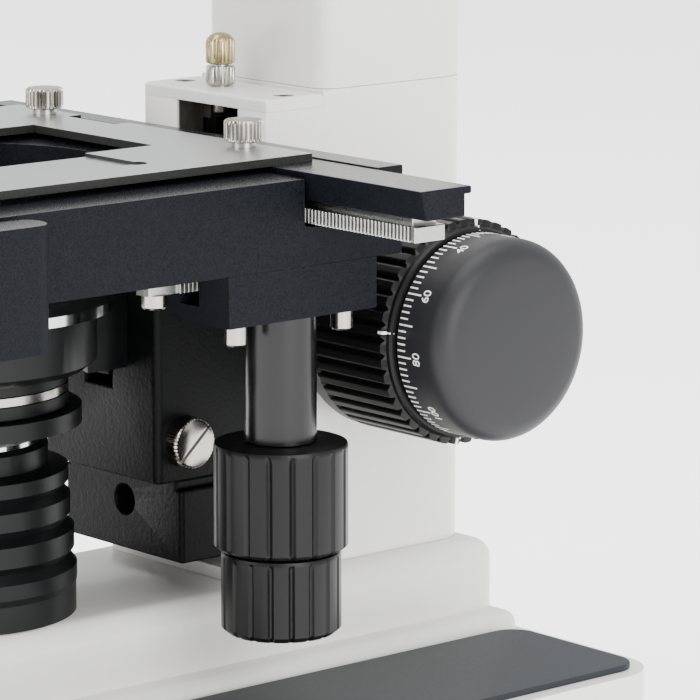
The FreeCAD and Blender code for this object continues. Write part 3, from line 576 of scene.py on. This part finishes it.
def makeRacks():
    low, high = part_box("x_rack")
    bm = bmesh.new()
    depth = rack["depth"]
    toothTop = low.z / mm + rack["toothTall"]
    addBox(bm, (low.x / mm, low.y / mm + depth, low.z / mm), (high.x / mm - 0.01, high.y / mm, toothTop))
    addBox(bm, (low.x / mm + 2, low.y / mm + 2, toothTop - 0.3), (high.x / mm - 3, high.y / mm, high.z / mm))
    addBox(bm, (high.x / mm - 1.4, low.y / mm, low.z / mm), (high.x / mm, low.y / mm + 4, toothTop))
    count = int((high.x - low.x - 1.6 * mm) / (rack["pitch"] * mm))
    addTeeth(bm, Vector((low.x, low.y + depth * mm, 0)), count, Vector((1, 0, 0)), Vector((0, -1, 0)), low.z,
             toothTop * mm)
    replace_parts(finished(bm, "x_rack_bar", "x_rack", "groundSteel", bevel=0.25), "x_rack")

    low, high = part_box("y_rack")
    bar = high.x - 0.3 * mm
    bottom = low.z / mm + 3.2
    bm = bmesh.new()
    addBox(bm, (bar / mm - 5.6, low.y / mm + 0.9, bottom), (bar / mm - depth, high.y / mm, high.z / mm))
    count = int((high.y - low.y - 9 * mm) / (rack["pitch"] * mm))
    addTeeth(bm, Vector((bar - depth * mm, high.y - 0.2 * mm, 0)), count, Vector((0, -1, 0)),
             Vector((1, 0, 0)), bottom * mm, high.z)
    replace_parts(finished(bm, "y_rack_bar", "y_rack", "groundSteel", bevel=0.1), "y_rack")
    head = Matrix.Translation((bar - 2.8 * mm, low.y + 4.0 * mm, low.z))
    capScrew("y_rack_screw", "y_rack", head, 3.05, 3.3, 1.5)
    print("racks made")


def capScrew(name, node, place, radius, tall, socket):
    # a knurled cap whose socket opens at the lower face
    outline = [(0, 0), (radius - 0.5, 0), (radius, 0.5), (radius, tall), (0, tall)]
    piece = turnedPiece(name, node, "nickel", outline, place, steps=72,
                        shape=grooves(24, 0.4, 0.12, 0.9, tall - 0.2, radius - 0.3))
    carveSocket(piece, socket, place)
    return piece


driveScrew = {"inset": 2.75, "radius": 2.7, "tall": 5.0, "socket": 1.5}
thumbScrew = {"inset": 4.8, "ribs": 28, "ribShare": 0.55, "ribDepth": 0.55}
stopScrew = {"ribs": 24, "ribDepth": 0.3}
plateScrew = {"inset": 2.55, "socket": 1.2}
bracketScrew = {"ribs": 40, "ribDepth": 0.07, "slotWide": 0.9, "slotTurn": 42}
clampKnob = {"ribs": 28, "ribDepth": 0.35}


def makeScrews():
    low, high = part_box("drive_screws")
    inset = driveScrew["inset"] * mm
    for i, y in enumerate((low.y + inset, high.y - inset)):
        place = Matrix.Translation(((low.x + high.x) / 2, y, low.z))
        piece = capScrew(f"drive_screw_{i + 1}", "drive_screws", place, driveScrew["radius"],
                         driveScrew["tall"], driveScrew["socket"])
        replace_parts(piece, "drive_screws")

    low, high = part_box("thumb_screws")
    inset = thumbScrew["inset"] * mm
    y = (low.y + high.y) / 2
    for i, x in enumerate((low.x + inset, high.x - inset)):
        outline = [(0, 0), (2.1, 0), (2.1, 2.0), (3.0, 2.05), (3.0, 3.3), (4.0, 3.4), (4.7, 3.75),
                   (4.8, 4.1), (4.8, 4.6), (4.8, 7.6), (4.8, 8.2), (4.3, 8.7), (3.4, 8.8), (0, 8.8)]
        piece = turnedPiece(f"thumb_screw_{i + 1}", "thumb_screws", "nickel", outline,
                            Matrix.Translation((x, y, low.z)), steps=thumbScrew["ribs"] * 10,
                            shape=grooves(thumbScrew["ribs"], thumbScrew["ribShare"],
                                          thumbScrew["ribDepth"], 3.9, 8.3, 4.5))
        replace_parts(piece, "thumb_screws")

    low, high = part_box("stop_screw")
    place = Matrix.Translation(((low.x + high.x) / 2, (low.y + high.y) / 2, low.z))
    thread = [(0, 0), (1.6, 0), (2.0, 0.5), (2.0, 7.3), (3.2, 7.35), (3.65, 7.8), (3.7, 8.2), (3.7, 11.6),
              (3.3, 12.1), (2.1, 12.2), (2.1, 12.7), (0, 12.7)]
    piece = turnedPiece("stop_nut", "stop_screw", "nickel", thread, place, steps=stopScrew["ribs"] * 10,
                        shape=grooves(stopScrew["ribs"], 0.5, stopScrew["ribDepth"], 7.7, 11.9, 3.4))
    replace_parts(piece, "stop_screw")
    knob = [(0, 12.65), (3.0, 12.65), (3.55, 12.9), (3.7, 13.3), (3.7, 18.2), (3.3, 19.0), (2.4, 19.9),
            (1.2, 20.4), (0, 20.5)]
    turnedPiece("stop_knob", "stop_screw", "warmNickel", knob, place, steps=stopScrew["ribs"] * 10,
                shape=grooves(stopScrew["ribs"], 0.5, stopScrew["ribDepth"], 12.9, 18.6, 3.4))

    low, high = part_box("stop_plate_screws")
    inset = plateScrew["inset"] * mm
    for i, x in enumerate((low.x + inset, high.x - inset)):
        place = Matrix.Translation((x, (low.y + high.y) / 2, low.z))
        tall = (high.z - low.z) / mm
        head = [(0, 0), (1.3, 0), (1.3, tall - 1.6), (2.5, tall - 0.3), (2.5, tall), (0, tall)]
        piece = turnedPiece(f"stop_plate_screw_{i + 1}", "stop_plate_screws", "bluedSteel", head, place,
                            steps=48)
        carveSocket(piece, plateScrew["socket"], place @ Matrix.Translation((0, 0, tall * mm)))
        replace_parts(piece, "stop_plate_screws")

    low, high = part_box("bracket_screw")
    place = pointing((1, 0, 0), (low.x, (low.y + high.y) / 2, (low.z + high.z) / 2))
    outline = [(0, 0), (6.4, 0), (6.4, 0.5), (6.4, 3.6), (6.1, 4.2), (5.4, 4.6), (0, 4.6)]
    piece = turnedPiece("bracket_screw_head", "bracket_screw", "nickel", outline, place,
                        steps=bracketScrew["ribs"] * 6,
                        shape=grooves(bracketScrew["ribs"], 0.5, bracketScrew["ribDepth"], 0.3, 3.9, 6.0))
    half = bracketScrew["slotWide"] / 2
    bm = bmesh.new()
    addBox(bm, (-7, -half, 3.5), (7, half, 6))
    carve(piece, toolPiece(bm, place @ Matrix.Rotation(math.radians(bracketScrew["slotTurn"]), 4, "Z")))
    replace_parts(piece, "bracket_screw")

    low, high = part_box("head_clamp")
    place = pointing((0, -1, 0), ((low.x + high.x) / 2, high.y, (low.z + high.z) / 2))
    outline = [(0, 0), (2.3, 0), (2.3, 6.0), (4.6, 6.5), (5.4, 7.2), (5.5, 7.8), (5.5, 14.4), (5.2, 15.3),
               (4.6, 15.9), (3.8, 16.0), (0, 16.0)]
    piece = turnedPiece("head_clamp_knob", "head_clamp", "nickel", outline, place,
                        steps=clampKnob["ribs"] * 10,
                        shape=grooves(clampKnob["ribs"], 0.5, clampKnob["ribDepth"], 7.5, 15.0, 5.2))
    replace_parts(piece, "head_clamp")
    print("screws made")


# nosepiece, eyepieces and the remaining knobs

optics = {"tilt": 17, "ringRadius": 23, "tubeEnd": 80, "eyeArm": 36, "eyeLift": 27.3, "headTilt": 30,
          "gripRibs": 84, "barrelRibs": 48, "bandAt": 0.50, "dioptreRibs": 36, "dioptreTurn": 117}
barrels = (("low", 27, 10.4, "redInk"), ("mid", 37.5, 11, "yellowInk"), ("high", 44.2, 12, "blueInk"),
           ("oil", 44.7, 12, "whiteInk"))


def jointPlace(name):
    return [Vector(joint["pos_m"]) for joint in record["behaviour"]["joints"] if joint["name"] == name][0]


def makeNosepiece():
    tilt = math.radians(optics["tilt"])
    reach = optics["ringRadius"] * mm / math.sin(tilt)
    lean = Matrix.Rotation(tilt, 4, "X")
    middle = jointPlace("turret_turn")
    apex = middle + lean @ Vector((0, 0, reach * math.cos(tilt)))
    for i, (name, tall, wide, ink) in enumerate(barrels):
        turn = lean @ Matrix.Rotation(i * math.pi / 2, 4, "Z") @ Matrix.Rotation(-tilt, 4, "X")
        place = Matrix.Translation(apex) @ turn @ Matrix.Translation((0, 0, -reach))
        node = "objective_" + name
        band = optics["bandAt"] * tall
        skin = wide - 0.5
        outline = [(0, 0), (10.0, 0), (10.0, -3), (wide - 0.6, -3.2), (wide - 0.1, -3.8),
                   (wide - 0.1, -4.2), (wide - 0.1, -8.4), (wide - 0.1, -8.8), (skin, -9.2), (skin, -band),
                   (skin - 0.4, -band - 0.1), (skin - 0.4, -band - 1.5), (skin, -band - 1.6),
                   (skin - 0.2, -0.56 * tall), (skin - 0.8, -0.58 * tall), (skin - 0.8, -0.72 * tall),
                   (6.4, -0.86 * tall), (4.2, 1.2 - tall), (3.3, -tall + 0.05), (2.2, -tall + 0.05),
                   (1.8, -tall + 0.6), (0, -tall + 0.6)]
        ribs = grooves(optics["barrelRibs"], 0.5, 0.25, -8.6, -4.0, wide - 0.4)
        piece = turnedPiece(node + "_barrel", node, "nickel", outline, place,
                            steps=optics["barrelRibs"] * 5, shape=ribs)
        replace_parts(piece, node)
        ring = [(wide - 1.2, -band - 0.15), (wide - 0.45, -band - 0.15), (wide - 0.45, -band - 1.45),
                (wide - 1.2, -band - 1.45)]
        turnedPiece(node + "_band", node, ink, ring, place, steps=72)
        glass = [(0, -tall + 0.9), (1.7, -tall + 0.9), (1.7, -tall + 0.5), (0.9, -tall + 0.3),
                 (0, -tall + 0.25)]
        turnedPiece(node + "_glass", node, "lensGlass", glass, place, steps=32)
    ribs = [(33.6, 6.4), (35.0, 6.4), (35.25, 6.7), (35.25, 7.0), (35.25, 11.2), (35.25, 11.5),
            (35.0, 11.7), (33.6, 11.7)]
    turnedPiece("turret_grip", "turret", "blackPlastic", ribs, Matrix.Translation(middle) @ lean,
                steps=optics["gripRibs"] * 6, shape=grooves(optics["gripRibs"], 0.5, 0.3, 6.6, 11.6, 34.9))
    print("nosepiece made")


def makeEyepieces():
    pivot = Matrix.Translation(jointPlace("eyetube_swing"))
    lean = pivot @ Matrix.Rotation(math.radians(90 - optics["headTilt"]), 4, "X")
    for name, sign in (("left", -1), ("right", 1)):
        turn = lean @ Matrix.Rotation(sign * math.radians(optics["eyeLift"]), 4, "Z")
        place = turn @ Matrix.Translation((sign * optics["eyeArm"] * mm, 0, optics["tubeEnd"] * mm))
        node = "eyepiece_" + name
        outline = [(0, -9), (11.6, -9), (11.6, 0.02), (16.0, 0.02), (16.35, 0.4), (16.35, 2.6), (15.9, 2.8),
                   (15.9, 3.3), (16.35, 3.5), (16.35, 11.6), (15.2, 12.4), (13.6, 12.4), (13.6, 19.5),
                   (12.6, 20.4), (0, 20.4)]
        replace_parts(turnedPiece(node + "_barrel", node, "smoothPlastic", outline, place, steps=120), node)
        cup = [(13.7, 12.5), (16.2, 12.5), (17.0, 13.6), (17.15, 14.4), (16.7, 15.2), (16.7, 16.4),
               (17.15, 17.2), (16.7, 18.0), (16.7, 19.2), (17.15, 20.0), (17.1, 24.6), (16.4, 25.9),
               (15.2, 26.35), (13.6, 26.2), (12.4, 24.4), (13.0, 21.5), (13.7, 20.0)]
        turnedPiece(node + "_cup", node, "eyecup", cup, place, steps=120, smooth=60)
        glass = [(0, 20.42), (11.9, 20.42), (11.9, 20.9), (8.5, 21.6), (4.5, 22.0), (0, 22.15)]
        turnedPiece(node + "_glass", node, "lensGlass", glass, place, steps=72, smooth=60)
        if sign < 0:
            ring = [(14.6, -11), (16.6, -11), (17.0, -10.6), (17.0, -10.2), (17.0, -3.6), (17.0, -3.2),
                    (16.6, -2.8), (16.6, -2.1), (14.6, -2.1)]
            piece = turnedPiece("dioptre_grip", "dioptre_ring", "blackPlastic", ring, place,
                                steps=optics["dioptreRibs"] * 10,
                                shape=grooves(optics["dioptreRibs"], 0.5, 0.35, -10.4, -3.4, 16.7))
            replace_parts(piece, "dioptre_ring")
            bm = bmesh.new()
            for angle in range(-60, 61, 15):
                turn = Matrix.Rotation(math.radians(angle + optics["dioptreTurn"]), 4, "Z")
                addBox(bm, (16.3, -0.25, -2.75), (16.64, 0.25, -2.2 if angle % 30 else -2.12), turn)
            finished(bm, "dioptre_marks", "dioptre_ring", "whiteInk", place=place)
    print("eyepieces made")


# along each knob's axis, in mm from its outer face or from the wall it stands in
condenserKnob = {"gripEnd": 17, "shaft": 3, "pinion": 3.85, "pinionStart": 42.6, "pinionEnd": 51.4,
                 "end": 61, "ribs": 24}
dimmer = {"neck": 4.1, "gripTall": 7.5, "ribs": 32}


def makeSmallKnobs():
    low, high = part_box("condenser_knob")
    centre = (low + high) / 2
    place = pointing((1, 0, 0), (low.x, centre.y, centre.z))
    wide = (high.z - low.z) / 2 / mm
    shaft = condenserKnob["shaft"]
    pinion = condenserKnob["pinion"]
    start, stop = condenserKnob["pinionStart"], condenserKnob["pinionEnd"]
    gripEnd, end = condenserKnob["gripEnd"], condenserKnob["end"]
    outline = [(0, 0.5), (wide - 3.4, 0.5), (wide - 3.0, 0), (wide - 1.0, 0), (wide - 0.3, 0.3),
               (wide, 1.0), (wide, 1.4), (wide, gripEnd - 1.6), (wide, gripEnd - 1.2),
               (wide - 0.8, gripEnd), (shaft, gripEnd), (shaft, start), (pinion, start), (pinion, stop),
               (shaft, stop), (shaft, end), (0, end)]
    piece = turnedPiece("condenser_grip", "condenser_knob", "blackPlastic", outline, place,
                        steps=condenserKnob["ribs"] * 10,
                        shape=grooves(condenserKnob["ribs"], 0.4, 0.6, 1.2, gripEnd - 1.4, wide - 0.5))
    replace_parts(piece, "condenser_knob")

    low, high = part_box("dimmer_dial")
    centre = (low + high) / 2
    place = pointing((-1, 0, 0), (high.x, centre.y, centre.z))
    long = (high.x - low.x) / mm
    wide = (high.z - low.z) / 2 / mm
    neck = dimmer["neck"]
    grip = long - dimmer["gripTall"]
    outline = [(0, 0), (neck, 0), (neck, grip), (wide - 0.3, grip), (wide, grip + 0.4), (wide, grip + 0.7),
               (wide, long - 1.4), (wide, long - 1.1), (wide - 0.5, long - 0.3), (wide - 1.2, long),
               (0, long)]
    piece = turnedPiece("dimmer_grip", "dimmer_dial", "blackPlastic", outline, place,
                        steps=dimmer["ribs"] * 10,
                        shape=grooves(dimmer["ribs"], 0.5, 0.35, grip + 0.5, long - 1.2, wide - 0.3))
    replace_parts(piece, "dimmer_dial")
    bm = bmesh.new()
    addBox(bm, (wide - 5.2, -0.35, long - 0.3), (wide - 1.3, 0.35, long + 0.03))
    finished(bm, "dimmer_pointer", "dimmer_dial", "whiteInk", place=place)
    print("small knobs made")


makeStudio()
makeSoftEdged()
makeFocusKnobs()
makeStageKnobs()
makeRacks()
makeGuideFacing()
makeScrews()
makeNosepiece()
makeEyepieces()
makeSmallKnobs()
